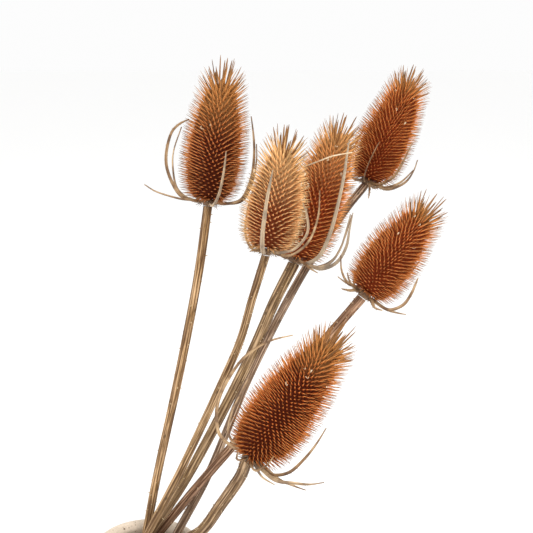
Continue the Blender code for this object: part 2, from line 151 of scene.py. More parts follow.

# One entry for each teasel, in millimetres. "base" and "tip" are the ends of the head's body, and "girth" is
# the reach of its spines from its axis. "spines" is their number, "head_tint" their colour, "depth" how deep
# the painted shade is at their feet and low on the head, and "gold_from" the share of the head's length where
# they start to turn towards "gold_tint". "shreds" is the number of pale hairs on the head's right, and
# "straw" lies loose across a head.
# "stem" runs from the foot inside the vase up to the neck under the head, "stem_radius" is the stem's radius
# at its top and its foot, and "stem_tint" its colour. A bract is (turn at its root, turn at its end, age,
# width, places): a turn is in degrees round the head's axis, 0 to the right and 90 away from the viewer, an
# age runs from -1 for bleached to 1 for burnt brown, a width is a share of the usual one, and a place is
# (distance out from the axis, height above the head's base).
TEASELS = [
    {
        "base": (40, 40, 327),
        "tip": (49, 50, 397),
        "girth": 21.5,
        "spines": 960,
        "head_tint": (0.55, 0.235, 0.082),
        "gold_tint": (0.53, 0.25, 0.075),
        "depth": 1.0,
        "gold_from": 0.50,
        "stem": [(-19.3, 8, 10), (-12, 10, 60), (-1, 12, 117), (7, 16, 157), (21, 22, 219), (33, 31, 279)],
        "stem_radius": (2.9, 2.7),
        "stem_tint": (0.29, 0.165, 0.06),
        "bracts": [
            (195, 200, 0.7, 1.0, [
                (11.6, -2.5), (19.3, 1), (27.2, 12.6), (29.9, 23.3), (28.6, 36.1), (24.4, 42.5), (18.4, 46.4)
            ]),
            (165, 160, 0.1, 0.9, [(12.1, -2.8), (21.6, 3.8), (26.1, 15.8), (27.1, 26.9), (24, 41.6)]),
            (205, 205, 0.4, 0.45, [(9.6, -2.6), (17.5, -2), (26.6, -0.8), (35.2, 1.1), (42.2, 4.3)]),
            (-72, -70, -0.3, 0.65, [(12, -4), (21, 4), (24, 14), (24.5, 22), (23.5, 30)]),
            (6, -8, 0.35, 1.0, [(10.8, -2.6), (20.2, 2.4), (24.6, 16), (24.6, 30), (22.9, 41), (19.9, 53)]),
            (30, 24, 0.4, 0.9, [(12, -2.8), (23.5, 1.4), (28.4, 14.6), (28.8, 27.3), (27.2, 37.1)]),
            (70, 80, 0.0, 0.9, [(15, -3), (25, 8), (29, 24), (26, 42)]),
            (120, 110, 0.3, 0.9, [(16, -3), (26, 6), (31, 20), (29, 34)]),
        ],
    },
    {
        "base": (76, 22, 300),
        "tip": (87, 36, 358),
        "girth": 21,
        "spines": 780,
        "head_tint": (0.78, 0.49, 0.225),
        "gold_tint": (0.80, 0.50, 0.22),
        "shreds": 18,
        "depth": 0.75,
        "gold_from": 0.35,
        "stem": [
            (-29.6, -24.2, 61.3), (-25, -22, 69), (-5, -13, 113), (23, -4, 166),
            (51, 7, 225), (60, 11, 246), (67, 15, 270),
        ],
        "stem_radius": (2.6, 2.5),
        "stem_tint": (0.26, 0.15, 0.055),
        "bracts": [
            (-99, -103, -0.3, 1.05, [(12, -4), (21, 5), (24, 17), (24.5, 30), (22.5, 45)]),
            (-35, -50, -0.2, 0.75, [
                (9.8, -2.4), (20, 1.4), (27.1, 7.6), (30.6, 14.3), (28.8, 22.9), (24.8, 29.5)
            ]),
            (-150, -150, 0.1, 0.8, [(6.5, -3), (11.5, -4)]),
            (10, 0, 0.0, 0.9, [(14, -3), (24, 8), (27, 24), (25, 40)]),
            (105, 110, 0.2, 0.9, [(15, -3), (24, 6), (27, 18), (27, 32)]),
            (128, 132, 0.0, 0.9, [(14, -3), (23, 6), (25, 20), (23, 34)]),
        ],
    },
    {
        "base": (95, 58, 286),
        "tip": (124, 80, 362),
        "girth": 22.5,
        "spines": 1100,
        "head_tint": (0.76, 0.36, 0.125),
        "gold_tint": (0.74, 0.42, 0.16),
        "straw": [(99.2, 56, 344.5), (107.4, 48, 348.9), (116.8, 47, 352.5), (129, 54, 353.7)],
        "depth": 0.6,
        "gold_from": 0.5,
        "stem": [
            (-35.6, -13.2, 66), (-27, -10, 76), (-2, -1, 114),
            (28, 14, 158), (61.6, 35, 218), (80.8, 50, 258),
        ],
        "stem_radius": (4.0, 2.6),
        "stem_tint": (0.235, 0.14, 0.052),
        "bracts": [
            (-45, -70, -0.5, 1.0, [
                (12, -3), (22, 5.2), (25.5, 20), (25.5, 36), (23, 55), (20, 68), (17, 80)
            ]),
            (-25, -22, -0.3, 0.8, [
                (9.8, -3.4), (18.6, -1.4), (24.2, 4.6), (26.5, 14.8), (25.8, 25.9), (24.6, 36.5)
            ]),
            (-15, -5, -0.4, 1.2, [
                (9.3, -3.6), (18.5, -2.1), (25.9, 5), (28.1, 16.5), (26, 28.5), (24.4, 38.8)
            ]),
            (-60, -55, 0.0, 0.8, [(12, -4), (19, -5), (27, -6.3)]),
            (20, 12, 0.1, 0.9, [(14, -3), (24, 7), (26, 22), (25, 38)]),
            (95, 100, 0.0, 0.9, [(14, -3), (24, 8), (26, 24), (24, 44)]),
            (125, 130, 0.2, 0.9, [(15, -3), (25, 6), (29, 20), (28, 40)]),
            (185, 180, 0.0, 0.9, [(14, -3), (24, 6), (27, 20), (25, 36)]),
        ],
    },
    {
        "base": (144, 100, 330),
        "tip": (172, 116, 391),
        "girth": 21,
        "spines": 1250,
        "head_tint": (0.58, 0.235, 0.07),
        "gold_tint": (0.50, 0.235, 0.07),
        "depth": 0.55,
        "gold_from": 0.85,
        "stem": [
            (-28.2, -20.1, 27.8), (-21, -15, 40), (-7, -5, 68), (18, 12, 114),
            (39, 29, 150), (65, 52, 208), (98, 76, 267), (126, 90, 307),
        ],
        "stem_radius": (2.9, 2.7),
        "stem_tint": (0.24, 0.15, 0.085),
        "bracts": [
            (-52, -48, 0.4, 0.75, [(12.5, -2.8), (21.8, 5.2), (24, 17), (24, 31)]),
            (-25, -20, 0.0, 0.9, [(7.5, -2.6), (14, -1.6), (22, 5.4), (26.5, 16.3)]),
            (-15, 5, 0.1, 1.0, [(7.2, -3), (15.6, -1.4), (23.6, 7), (26, 16.5), (25.8, 25.4)]),
            (-70, -75, 0.2, 0.6, [(7, -5), (13, -9), (18, -14)]),
            (55, 60, 0.0, 0.9, [(14, -3), (25, 8), (28, 24), (26, 42)]),
            (90, 95, 0.1, 0.9, [(15, -3), (25, 8), (29, 24), (28, 38)]),
            (125, 130, 0.3, 0.9, [(15, -3), (24, 6), (26, 20), (24, 36)]),
            (-105, -100, 0.5, 0.35, [(12, -4), (21, 4), (24, 14), (23.5, 22)]),
        ],
    },
    {
        "base": (137, 24, 272),
        "tip": (172, 34, 318),
        "girth": 20.5,
        "spines": 1000,
        "head_tint": (0.58, 0.24, 0.075),
        "gold_tint": (0.50, 0.24, 0.07),
        "depth": 0.6,
        "gold_from": 0.85,
        "stem": [(-38.3, 2.7, 63.2), (-28, 4, 74), (4, 6, 114), (41, 11, 159), (87, 18, 212), (119, 22, 250)],
        "stem_radius": (3.3, 2.7),
        "stem_tint": (0.23, 0.115, 0.05),
        "bracts": [
            (190, 190, 0.3, 0.8, [(6.8, -2.6), (13.7, -2.4), (20.8, 1.4), (26.7, 8.5)]),
            (165, 165, 0.1, 0.6, [(6.5, -2.8), (12.6, -3.1), (20, -3.1)]),
            (215, 210, 0.0, 0.8, [(6.5, -3.8), (11.2, -5.9), (16.3, -7.7)]),
            (-140, -150, 0.4, 0.7, [(7, -2.8), (14, -1.8), (20, 2)]),
            (-20, -30, 0.3, 0.95, [
                (8.9, -2.8), (18.4, -0.9), (23.9, 6.5), (24, 15), (22.6, 21.5), (21.8, 25)
            ]),
            (0, 0, 0.2, 0.9, [(8.8, -2.6), (15.6, -1.8), (22, 0.3), (28, 3.2)]),
            (-50, -40, 0.0, 0.9, [(7.4, -3.6), (12.2, -5), (17.4, -3.6)]),
            (60, 50, 0.0, 0.9, [(14, -3), (25, 8), (29, 22), (28, 36)]),
            (115, 110, 0.2, 0.9, [(15, -3), (25, 6), (30, 20), (28, 36)]),
        ],
    },
    {
        "base": (67, -44, 195),
        "tip": (112, -38, 258),
        "girth": 22.5,
        "spines": 1450,
        "head_tint": (0.60, 0.24, 0.072),
        "gold_tint": (0.53, 0.26, 0.08),
        "depth": 0.95,
        "gold_from": 0.7,
        "stem": [
            (1.6, 15, 9.9), (4, 9, 36), (8.5, -2, 77), (17.6, -11, 115),
            (36.7, -21.5, 135.3), (48.5, -29.5, 156), (60.3, -38, 178),
        ],
        "stem_radius": (3.7, 3.4),
        "stem_tint": (0.21, 0.12, 0.045),
        "bracts": [
            (190, 180, 0.15, 1.1, [
                (11, -2.6), (21.1, -0.6), (28.7, 6.3), (34.2, 16.5),
                (36.5, 30), (36, 45.3), (30, 59.4), (21, 69.8)
            ]),
            (155, 150, 0.1, 0.8, [(10, -3), (18.9, 0.8), (24.6, 11.8), (26.8, 22.2), (28.6, 32.4)]),
            (-25, -20, 0.45, 1.1, [(9, -2.8), (17, -0.8), (23.6, 6.5), (25.8, 17.9), (26, 28.2), (25, 39.1)]),
            (-35, -25, -0.1, 1.4, [(10.3, -3), (20.9, -1.4), (30, 4.3), (36.8, 9.2), (42.5, 15.3)]),
            (10, 15, 0.2, 0.8, [(11.4, -3.4), (23.1, -4.6), (33.4, -3.6), (41.7, -2.5)]),
            (-60, -50, -0.1, 1.6, [(8, -3), (16.6, -3.2), (25.8, -1)]),
            (-70, -75, 0.0, 0.5, [(9, -4), (17, -1), (23, 7), (24, 13)]),
            (-115, -118, 0.1, 0.6, [(10, -4), (18, -2), (23, 3)]),
            (60, 65, 0.0, 0.9, [(15, -3), (25, 8), (30, 24), (28, 44)]),
            (105, 100, 0.3, 0.9, [(15, -3), (26, 8), (31, 26), (29, 48)]),
        ],
    },
]


class VaseSettings(bpy.types.PropertyGroup):
    glaze: FloatVectorProperty(
        name="Glaze", description="Colour of the pale matt glaze",
        default=(0.72, 0.60, 0.47), size=3, min=0.0, max=1.0, subtype="COLOR",
    )
    specks: FloatVectorProperty(
        name="Specks", description="Colour of the small iron specks in the glaze",
        default=(0.30, 0.20, 0.12), size=3, min=0.0, max=1.0, subtype="COLOR",
    )
    clay: FloatVectorProperty(
        name="Clay", description="Colour of the bare clay at the foot",
        default=(0.42, 0.29, 0.19), size=3, min=0.0, max=1.0, subtype="COLOR",
    )
    ring_depth: FloatProperty(
        name="Ring depth", description="Depth of the rings left by throwing",
        default=0.12 * MM, min=0.0, unit="LENGTH",
    )


class StemSettings(bpy.types.PropertyGroup):
    ribs: IntProperty(name="Ribs", description="Number of ribs along a stem", default=9, min=3)
    rib_depth: FloatProperty(
        name="Rib depth", description="Depth of the grooves as a share of the stem's radius",
        default=0.13, min=0.0, max=0.5, subtype="FACTOR",
    )
    prickles: IntProperty(name="Prickles", description="Number of prickles on a stem", default=80, min=0)
    prickle_length: FloatProperty(
        name="Prickle length", description="Length of the longest prickles",
        default=1.9 * MM, min=0.0, unit="LENGTH",
    )


class BractSettings(bpy.types.PropertyGroup):
    width: FloatProperty(
        name="Width", description="Width of a bract near its root",
        default=2.8 * MM, min=0.0, unit="LENGTH",
    )
    thickness: FloatProperty(
        name="Thickness", description="Thickness of a bract near its root",
        default=1.9 * MM, min=0.0, unit="LENGTH",
    )
    fringe: IntProperty(name="Fringe", description="Number of dry hairs round a collar", default=110, min=0)
    straw: FloatVectorProperty(
        name="Straw", description="Colour of a dry bract",
        default=(0.46, 0.31, 0.16), size=3, min=0.0, max=1.0, subtype="COLOR",
    )


class HeadSettings(bpy.types.PropertyGroup):
    spines: FloatProperty(
        name="Spines", description="Number of spines as a share of each head's own number",
        default=1.0, min=0.05, subtype="FACTOR",
    )
    crown_spikes: IntProperty(
        name="Crown spikes", description="Number of long spikes at the tip",
        default=22, min=0,
    )
    crown_length: FloatProperty(
        name="Crown length", description="Length of the longest spikes at the tip",
        default=20 * MM, min=0.0, unit="LENGTH",
    )
    skirt_spines: IntProperty(
        name="Skirt spines", description="Number of spines that lean down",
        default=90, min=0,
    )
    scraps: IntProperty(name="Flower scraps", description="Number of dry flower scraps", default=16, min=0)
    # Painted shade deep between the spines and at their feet
    gap: FloatVectorProperty(
        name="Gap", description="Colour deep between the spines",
        default=(0.052, 0.009, 0.003), size=3, min=0.0, max=1.0, subtype="COLOR",
    )
    spike: FloatVectorProperty(
        name="Spikes", description="Colour of the long spikes of the crown",
        default=(0.27, 0.13, 0.05), size=3, min=0.0, max=1.0, subtype="COLOR",
    )


class StageSettings(bpy.types.PropertyGroup):
    floor_size: FloatProperty(
        name="Floor size", description="Width of the floor",
        default=16.0, min=0.5, unit="LENGTH",
    )
    floor: FloatVectorProperty(
        name="Floor", description="Colour of the floor",
        default=(0.99, 0.99, 0.985), size=3, min=0.0, max=1.0, subtype="COLOR",
    )
    surround: FloatProperty(
        name="Surround", description="Strength of the light from all round",
        default=0.98, min=0.0,
    )
    key_power: FloatProperty(
        name="Main light", description="Power of the main light",
        default=14.0, min=0.0, unit="POWER",
    )
    fill_power: FloatProperty(
        name="Second light", description="Power of the second light",
        default=5.0, min=0.0, unit="POWER",
    )


class Finish:
    """A node-based material, built up one node at a time."""

    def __init__(self, name, roughness):
        self.material = bpy.data.materials.new(name)
        self.material.use_nodes = True
        self.nodes = self.material.node_tree.nodes
        self.links = self.material.node_tree.links
        self.shader = self.nodes["Principled BSDF"]
        self.shader.inputs["Roughness"].default_value = roughness

    def feed(self, socket, value):
        if isinstance(value, bpy.types.NodeSocket):
            self.links.new(value, socket)
        else:
            socket.default_value = value

    def object_place(self):
        return self.nodes.new("ShaderNodeTexCoord").outputs["Object"]

    def attribute(self, name):
        made = self.nodes.new("ShaderNodeAttribute")
        made.attribute_name = name
        return made

    def stretch(self, vector, scale):
        made = self.nodes.new("ShaderNodeMapping")
        self.feed(made.inputs["Vector"], vector)
        made.inputs["Scale"].default_value = scale
        return made.outputs["Vector"]

    def noise(self, vector, scale, detail=3.0, roughness=0.5):
        made = self.nodes.new("ShaderNodeTexNoise")
        self.feed(made.inputs["Vector"], vector)
        made.inputs["Scale"].default_value = scale
        made.inputs["Detail"].default_value = detail
        made.inputs["Roughness"].default_value = roughness
        return made.outputs["Fac"]

    def cells(self, vector, scale):
        made = self.nodes.new("ShaderNodeTexVoronoi")
        self.feed(made.inputs["Vector"], vector)
        made.inputs["Scale"].default_value = scale
        return made

    def calculate(self, operation, first, second):
        made = self.nodes.new("ShaderNodeMath")
        made.operation = operation
        made.use_clamp = operation != "MULTIPLY"
        self.feed(made.inputs[0], first)
        self.feed(made.inputs[1], second)
        return made.outputs[0]

    def times(self, first, second):
        return self.calculate("MULTIPLY", first, second)

    def plus(self, first, second):
        return self.calculate("ADD", first, second)

    def minus(self, first, second):
        return self.calculate("SUBTRACT", first, second)

    def ramp(self, factor, stops):
        """Colours or greys at their places along a ramp."""
        made = self.nodes.new("ShaderNodeValToRGB")
        self.feed(made.inputs["Fac"], factor)
        points = made.color_ramp.elements
        for spare in range(len(stops) - 2):
            points.new(0.5)
        for point, (place, colour) in zip(points, stops):
            point.position = place
            point.color = full_colour(colour)
        return made.outputs["Color"]

    def mix(self, factor, first, second, blend_type="MIX"):
        """Two colours mixed. Inputs 6 and 7 and output 2 are the node's colours."""
        made = self.nodes.new("ShaderNodeMix")
        made.data_type = "RGBA"
        made.blend_type = blend_type
        self.feed(made.inputs[0], factor)
        for socket, value in ((made.inputs[6], first), (made.inputs[7], second)):
            self.feed(socket, value if isinstance(value, bpy.types.NodeSocket) else full_colour(value))
        return made.outputs[2]

    def split(self, colour):
        made = self.nodes.new("ShaderNodeSeparateColor")
        self.feed(made.inputs["Color"], colour)
        return made.outputs

    def colour(self, value):
        self.feed(self.shader.inputs["Base Color"], value)

    def rough(self, factor, low, high):
        made = self.nodes.new("ShaderNodeMapRange")
        self.feed(made.inputs["Value"], factor)
        made.inputs["To Min"].default_value = low
        made.inputs["To Max"].default_value = high
        self.feed(self.shader.inputs["Roughness"], made.outputs["Result"])

    def bump(self, height, distance, strength=1.0):
        made = self.nodes.new("ShaderNodeBump")
        made.inputs["Strength"].default_value = strength
        made.inputs["Distance"].default_value = distance
        self.feed(made.inputs["Height"], height)
        self.feed(self.shader.inputs["Normal"], made.outputs["Normal"])


def full_colour(value):
    """A grey or a red, green and blue as a colour with its alpha."""
    if isinstance(value, (int, float)):
        value = (value, value, value)
    return (*value[:3], 1.0)


def scaled(colour, factor):
    return [shade * factor for shade in colour]


def toned(colour, shares):
    return [shade * share for shade, share in zip(colour, shares)]


def paler(colour, factor, added):
    return [min(1.0, shade * factor + added) for shade in colour]


def stoneware(settings):
    """Pale matt glaze with fine iron specks, ending above the bare foot."""
    finish = Finish("speckled_stoneware", 0.75)
    place = finish.object_place()
    drift = finish.noise(place, 35, 4)
    grit = finish.noise(place, 900, 4, 0.65)
    glaze = finish.mix(drift, scaled(settings.glaze, 0.93), scaled(settings.glaze, 1.06))
    glaze = finish.mix(finish.ramp(grit, [(0.35, 0.0), (0.75, 1.0)]), glaze, scaled(settings.glaze, 0.78))
    fine = finish.cells(place, 520)
    few = finish.ramp(finish.split(fine.outputs["Color"])[0], [(0.62, 0.0), (0.66, 1.0)])
    dots = finish.ramp(fine.outputs["Distance"], [(0.16, 1.0), (0.30, 0.0)])
    glaze = finish.mix(finish.times(finish.times(dots, few), 0.75), glaze, settings.specks)
    large = finish.cells(place, 150)
    rare = finish.ramp(finish.split(large.outputs["Color"])[1], [(0.80, 0.0), (0.82, 1.0)])
    spots = finish.ramp(large.outputs["Distance"], [(0.07, 1.0), (0.13, 0.0)])
    glaze = finish.mix(finish.times(spots, rare), glaze, scaled(settings.specks, 0.6))
    height = finish.nodes.new("ShaderNodeSeparateXYZ")
    finish.feed(height.inputs["Vector"], place)
    wave = finish.times(finish.noise(place, 45, 2), 5 * MM)
    edge = finish.minus(height.outputs["Z"], wave)
    bare = finish.ramp(finish.times(edge, 100.0), [(0.28, 1.0), (0.32, 0.0)])
    clay = finish.mix(grit, scaled(settings.clay, 0.85), scaled(settings.clay, 1.15))
    finish.colour(finish.mix(bare, glaze, clay))
    finish.rough(grit, 0.62, 0.88)
    finish.bump(finish.plus(grit, finish.times(drift, 0.4)), 0.35 * MM)
    return finish.material


def dry_stem(number, tint):
    """Ribbed dry stalk with long straw, tan and brown streaks, painted shade in its grooves and pale prickle
    feet.
    """
    finish = Finish(f"dry_stem_{number}", 0.6)
    finish.shader.inputs["Specular IOR Level"].default_value = 0.25
    place = finish.object_place()
    grain = finish.attribute("grain").outputs["Vector"]
    tone = finish.split(finish.attribute("tone").outputs["Color"])
    streaks = finish.noise(finish.stretch(grain, (1.0, 1.0, 0.035)), 1150, 2, 0.6)
    bands = finish.noise(finish.stretch(grain, (1.0, 1.0, 0.03)), 260, 1)
    fibres = finish.noise(finish.stretch(grain, (1.0, 1.0, 0.02)), 2600, 3, 0.6)
    patches = finish.noise(place, 70, 3)
    dark = toned(tint, (0.30, 0.22, 0.17))
    pale = paler(tint, 1.7, 0.10)
    colour = finish.ramp(streaks, [(0.44, dark), (0.475, tint), (0.52, tint), (0.555, pale)])
    colour = finish.mix(finish.ramp(bands, [(0.50, 0.0), (0.62, 0.7)]), colour, dark)
    colour = finish.mix(finish.ramp(patches, [(0.45, 0.0), (0.70, 0.55)]), colour, dark)
    colour = finish.mix(finish.ramp(fibres, [(0.46, 0.0), (0.66, 0.35)]), colour, pale)
    # Painted shade: darker in the grooves between the ribs
    colour = finish.mix(finish.ramp(tone[0], [(0.0, 0.75), (0.55, 0.0)]), colour, dark)
    spots = finish.cells(finish.stretch(grain, (1.0, 1.0, 0.5)), 420)
    few = finish.ramp(finish.split(spots.outputs["Color"])[0], [(0.78, 0.0), (0.80, 0.8)])
    dots = finish.ramp(spots.outputs["Distance"], [(0.18, 1.0), (0.34, 0.0)])
    colour = finish.mix(finish.times(dots, few), colour, scaled(tint, 0.2))
    finish.colour(finish.mix(tone[1], colour, (0.66, 0.52, 0.33)))
    finish.rough(streaks, 0.48, 0.75)
    finish.bump(finish.plus(fibres, streaks), 0.22 * MM, 0.8)
    return finish.material


def dry_bract(settings):
    """Straw-coloured blade with long fibres, burnt in places, bleached where it is old, with painted shade in
    its grooves.
    """
    finish = Finish("dry_bract", 0.6)
    grain = finish.attribute("grain").outputs["Vector"]
    tone = finish.split(finish.attribute("tone").outputs["Color"])
    streaks = finish.noise(finish.stretch(grain, (1.0, 1.0, 0.04)), 1300, 4, 0.6)
    patches = finish.noise(finish.stretch(grain, (0.5, 0.5, 1.0)), 90, 3)
    straw = settings.straw
    brown = toned(straw, (0.48, 0.38, 0.31))
    pale = paler(straw, 1.3, 0.06)
    colour = finish.ramp(streaks, [(0.38, brown), (0.50, straw), (0.62, pale)])
    colour = finish.mix(finish.ramp(patches, [(0.40, 0.0), (0.56, 0.8)]), colour, brown)
    # Painted shade: darker in the grooves of the bracts and the collar
    colour = finish.mix(finish.ramp(tone[0], [(0.0, 0.65), (0.7, 0.0)]), colour, brown)
    colour = finish.mix(finish.times(tone[1], 0.9), colour, brown)
    scorch = finish.plus(patches, finish.minus(tone[1], 0.62))
    burnt = finish.ramp(scorch, [(0.50, 0.0), (0.62, 0.9)])
    colour = finish.mix(burnt, colour, (0.10, 0.050, 0.022))
    colour = finish.mix(tone[2], colour, (0.55, 0.49, 0.38))
    finish.colour(colour)
    finish.rough(streaks, 0.45, 0.72)
    finish.bump(streaks, 0.18 * MM, 0.8)
    return finish.material


def spiny_head(number, teasel, settings):
    """Rust spines golden near the tip under brown spikes; painted maroon shade at their feet and low on the
    head.
    """
    finish = Finish(f"spiny_head_{number}", 0.6)
    finish.shader.inputs["Specular IOR Level"].default_value = 0.05
    tone = finish.attribute("tone")
    along, chance, height = finish.split(tone.outputs["Color"])[:3]
    grit = finish.noise(finish.object_place(), 700, 3)
    tint, depth = teasel["head_tint"], teasel["depth"]
    # The gap colour is painted shade between the spines, redder and lighter where the head's depth is low
    shown = (0.32, 0.12, 0.08)
    gap = [deep + part * shade * (1 - depth) for deep, part, shade in zip(settings.gap, shown, tint)]
    # Along each spine: painted shade at the foot, fading out through a darker red into rust, then darker to
    # the point
    body = finish.ramp(along, [
        (0.0, gap),
        (0.12, [0.85 * deep + 0.12 * shade for deep, shade in zip(gap, tint)]),
        (0.27, toned(tint, (0.62, 0.36, 0.25))),
        (0.50, scaled(tint, 1.16)),
        (0.75, scaled(tint, 0.62)),
        (1.0, [0.28 * shade + 0.015 for shade in tint]),
    ])
    gold = teasel["gold_tint"]
    golden = finish.ramp(along, [
        (0.0, scaled(gold, 0.45)),
        (0.35, gold),
        (0.65, scaled(gold, 0.75)),
        (1.0, settings.spike),
    ])
    spikes = finish.ramp(along, [(0.0, gold), (0.25, settings.spike), (1.0, scaled(settings.spike, 0.7))])
    colour = finish.mix(finish.ramp(height, [(teasel["gold_from"], 0.0), (1.0, 0.9)]), body, golden)
    colour = finish.mix(tone.outputs["Alpha"], colour, spikes)
    # Painted shade: darker towards the bottom of the head, next to the bracts
    colour = finish.mix(finish.ramp(height, [(0.0, 0.30 * depth), (0.35, 0.0)]), colour, gap)
    shade = finish.ramp(finish.plus(chance, grit), [(0.25, 0.42), (1.0, 1.30)])
    finish.colour(finish.mix(1.0, colour, shade, "MULTIPLY"))
    return finish.material


def flower_scrap():
    """Pale papery remains of the flowers."""
    finish = Finish("flower_scrap", 0.7)
    patches = finish.noise(finish.object_place(), 500, 3)
    finish.colour(finish.ramp(patches, [(0.35, (0.60, 0.42, 0.24)), (0.65, (0.82, 0.70, 0.50))]))
    return finish.material


def smooth_route(places, steps):
    """Points at even steps along a smooth curve that passes through every given place."""
    places = [Vector(place) for place in places]
    ends = [2 * places[0] - places[1]] + places + [2 * places[-1] - places[-2]]
    spans = len(places) - 1
    route = []
    for step in range(steps + 1):
        along = step / steps * spans
        span = min(int(along), spans - 1)
        t = along - span
        before, start, end, after = ends[span:span + 4]
        route.append(
            0.5 * (
                2 * start
                + (end - before) * t
                + (2 * before - 5 * start + 4 * end - after) * t ** 2
                + (3 * start - before - 3 * end + after) * t ** 3
            )
        )
    return route


def head_placement(teasel):
    """The head's own axes: across the view, away from the viewer and along the head, at its base."""
    base = Vector(teasel["base"]) * MM
    along = (Vector(teasel["tip"]) * MM - base).normalized()
    across = (Vector((1, 0, 0)) - along * along.x).normalized()
    away = along.cross(across)
    turn = Matrix((across, away, along)).transposed().to_4x4()
    return Matrix.Translation(base) @ turn


def body_length(teasel):
    return (Vector(teasel["tip"]) - Vector(teasel["base"])).length * MM


def egg_radius(share):
    """Radius of the egg for a share of its length, where its widest part is 1."""
    along = EGG_START + (1 - EGG_START) * share ** EGG_POWER
    return math.sqrt(max(0.0, 1 - (2 * along - 1) ** 2))


def new_bmesh():
    """An empty mesh whose corners carry a place along the fibres and a tone."""
    bm = bmesh.new()
    grain = bm.verts.layers.float_vector.new("grain")
    tone = bm.verts.layers.float_color.new("tone")
    return bm, grain, tone


def finish_piece(name, bm, materials, node):
    """Turn the mesh into a named piece that rides on the model and stands for its plain node."""
    bmesh.ops.recalc_face_normals(bm, faces=bm.faces[:])
    mesh = bpy.data.meshes.new(name)
    bm.to_mesh(mesh)
    bm.free()
    for material in materials:
        mesh.materials.append(material)
    mesh.shade_smooth()
    mesh.set_sharp_from_angle(angle=SHARP_ANGLE)
    piece = bpy.data.objects.new(name, mesh)
    bpy.context.scene.collection.objects.link(piece)
    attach(piece, "root")
    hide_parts(node)


def turn_profile(bm, profile, sides):
    """Spin a profile of (radius, height) full round."""
    corners = [bm.verts.new((radius, 0, height)) for radius, height in profile]
    edges = [bm.edges.new(pair) for pair in zip(corners, corners[1:])]
    bmesh.ops.spin(
        bm, geom=corners + edges, cent=(0, 0, 0), axis=(0, 0, 1), angle=FULL_TURN, steps=sides, use_merge=True
    )
    bmesh.ops.remove_doubles(bm, verts=bm.verts[:], dist=SAME_PLACE)


def extrude_along(bm, grain, tone, rings, fibres, tones):
    """Extrude a capped outline through rings of places, and give each corner its fibre place and tone."""
    start = bmesh.ops.create_circle(bm, cap_ends=True, radius=1.0, segments=len(rings[0]))
    end = start["verts"][0].link_faces[0]
    for step, places in enumerate(rings):
        if step > 0:
            end = bmesh.ops.extrude_discrete_faces(bm, faces=[end])["faces"][0]
        for corner, place, fibre, shade in zip(end.verts, places, fibres[step], tones[step]):
            corner.co = place
            corner[grain] = fibre
            corner[tone] = shade


def close_ends(bm):
    open_edges = [edge for edge in bm.edges if edge.is_boundary]
    bmesh.ops.holes_fill(bm, edges=open_edges, sides=0)


def sweep(bm, grain, tone, route, outlines, facings, tones, end_direction=None, fibre_start=0.0):
    """Carry a changing outline along a route, its second direction kept towards the facing."""
    rings = []
    fibres = []
    last = len(route) - 1
    along = fibre_start
    for step, place in enumerate(route):
        tangent = (route[min(step + 1, last)] - route[max(step - 1, 0)]).normalized()
        if step == last and end_direction is not None:
            tangent = end_direction
        side = tangent.cross(facings[step]).normalized()
        front = side.cross(tangent)
        rings.append([place + side * x + front * y for x, y in outlines[step]])
        fibres.append([(x, y, along) for x, y in outlines[step]])
        if step < last:
            along += (route[step + 1] - place).length
    extrude_along(bm, grain, tone, rings, fibres, tones)


def pattern_mesh(name, route, outlines, tones, material_index=0):
    """A small mesh that is set many times, such as a spine, modelled along +Z with length 1."""
    bm, grain, tone = new_bmesh()
    facings = [TO_VIEWER] * len(route)
    sweep(bm, grain, tone, [Vector(place) for place in route], outlines, facings, tones)
    close_ends(bm)
    bmesh.ops.recalc_face_normals(bm, faces=bm.faces[:])
    for face in bm.faces:
        face.material_index = material_index
    mesh = bpy.data.meshes.new(name)
    bm.to_mesh(mesh)
    bm.free()
    return mesh


def set_pattern(bm, pattern, place, tone_change=None):
    """Add one copy of the pattern at a place, its tone changed for this copy."""
    copy = pattern.copy()
    copy.transform(place)
    if tone_change is not None:
        for value in copy.attributes["tone"].data:
            value.color = tone_change(value.color)
    bm.from_mesh(copy)
    bpy.data.meshes.remove(copy)


def pointed_along(place, direction, up_hint, length, width, depth):
    """Placement of a pattern: its +Z along the direction, its width across and its depth towards the hint."""
    along = direction.normalized()
    side = along.cross(up_hint).normalized()
    front = side.cross(along)
    turn = Matrix((side * width, front * depth, along * length)).transposed().to_4x4()
    return Matrix.Translation(place) @ turn


def outward(angle):
    """Direction out from the axis at an angle round it."""
    return Vector((math.cos(angle), math.sin(angle), 0))


def lifted(radial, lift):
    """Direction that leans from straight out towards straight up."""
    return radial * math.cos(lift) + UP * math.sin(lift)


def shaded(chance, share):
    """Tone of one copy: its own chance of being dark, and its height up the head."""
    return lambda old: (old[0], chance, share, old[3])


def oval(half_width, half_depth, corners):
    """Corners of an oval outline."""
    angles = [FULL_TURN * corner / corners for corner in range(corners)]
    return [(half_width * math.cos(angle), half_depth * math.sin(angle)) for angle in angles]


def plain_tones(steps, corners, shares):
    return [[(shares[step], 0.0, 0.0, 0.0)] * corners for step in range(steps)]


def spine_pattern():
    """A straight spine with a broad boat-shaped foot and a fine point."""
    shape = [
        (0.0, 0.80, 0.45), (0.18, 0.74, 0.42), (0.33, 0.38, 0.28),
        (0.50, 0.23, 0.19), (0.80, 0.14, 0.12), (1.0, 0.03, 0.03),
    ]
    route = [(0, 0, share) for share, width, depth in shape]
    outlines = [oval(width, depth, 5) for share, width, depth in shape]
    return pattern_mesh("spine", route, outlines, plain_tones(6, 5, [share for share, width, depth in shape]))


def spike_pattern():
    """A long flattened spike of the crown, slightly bowed."""
    shape = [(0.0, 0.6, 0.40), (0.25, 0.58, 0.32), (0.6, 0.50, 0.26), (0.88, 0.34, 0.20), (1.0, 0.12, 0.08)]
    route = [(0, 0.05 * math.sin(math.pi * share), share) for share, width, depth in shape]
    outlines = [oval(width, depth, 6) for share, width, depth in shape]
    tones = [[(share, 0.0, 0.0, 1.0)] * 6 for share, width, depth in shape]
    return pattern_mesh("spike", route, outlines, tones)


